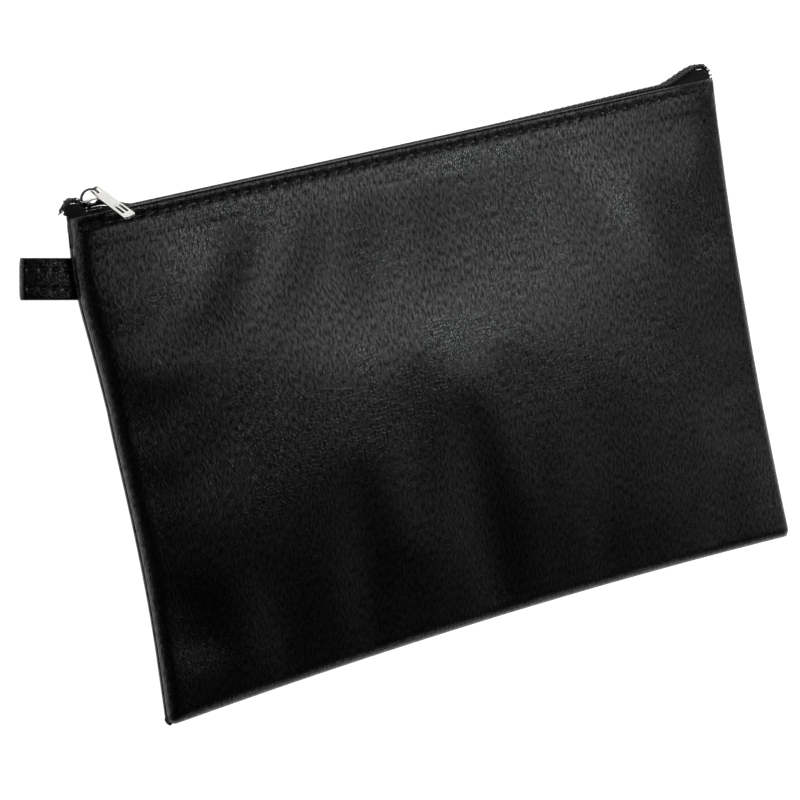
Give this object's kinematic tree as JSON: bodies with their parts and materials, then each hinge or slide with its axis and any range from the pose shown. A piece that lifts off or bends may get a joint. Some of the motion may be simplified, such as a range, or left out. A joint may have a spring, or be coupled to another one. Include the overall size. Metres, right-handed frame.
{
  "type": "cash deposit bag",
  "caption": "Flat black leatherette zip pouch for carrying cash and deposit slips, with a nylon coil zip along one long edge and a short hang loop in the side seam.",
  "frame": {"origin": "middle of the pouch on the plane that its back panel rests on", "axes": "+X along the zip to the right as seen from the front, +Y towards the zip, +Z out of the front panel"},
  "size_m": [0.304, 0.1991, 0.0313],
  "materials": {
    "leatherette": "fine pebbled grain, satin",
    "zip_tape": "woven polyester, matte",
    "zip_coil": "nylon coil, satin",
    "thread": "bonded polyester thread",
    "plated_metal": "bright nickel plate"
  },
  "bodies": {
    "back": {"back_panel": "leatherette", "zipper_tape_back": "zip_tape", "coil_back": "zip_coil", "coil_cord_back": "thread", "coil_thread_back": "thread", "topstitch_back": "thread", "seam_thread_left": "thread", "seam_thread_right": "thread", "seam_thread_bottom": "thread", "loop_tail": "leatherette"},
    "front": {"front_panel": "leatherette", "zipper_tape_front": "zip_tape", "coil_front": "zip_coil", "coil_cord_front": "thread", "coil_thread_front": "thread", "topstitch_front": "thread"},
    "slider": {"slider_body": "plated_metal", "slider_bridge": "plated_metal"},
    "pull": {"pull_tab": "plated_metal"},
    "loop": {"loop_strap": "leatherette", "loop_stitch_upper": "thread", "loop_stitch_lower": "thread"}
  },
  "joints": [
    {"name": "mouth_open", "type": "hinge", "parent": "back", "child": "front", "pos_m": [0.14, 0, 0.012], "axis": [0, 1, 0], "range_deg": [0, 12]},
    {"name": "slider_travel", "type": "slide", "parent": "front", "child": "slider", "axis": [1, 0, 0], "range_m": [0, 0.25]},
    {"name": "pull_swing", "type": "hinge", "parent": "slider", "child": "pull", "pos_m": [-0.12868, 0.10229, 0.012], "axis": [-0.6691, 0.7431, 0], "range_deg": [0, 160]},
    {"name": "loop_flex", "type": "hinge", "parent": "back", "child": "loop", "pos_m": [-0.1423, 0.0728, 0.00965], "axis": [0, 1, 0], "range_deg": [-3, 80]}
  ],
  "couplings": [
    {"joint": "slider_travel", "follows": "mouth_open", "m_per_rad": 1.1937}
  ]
}
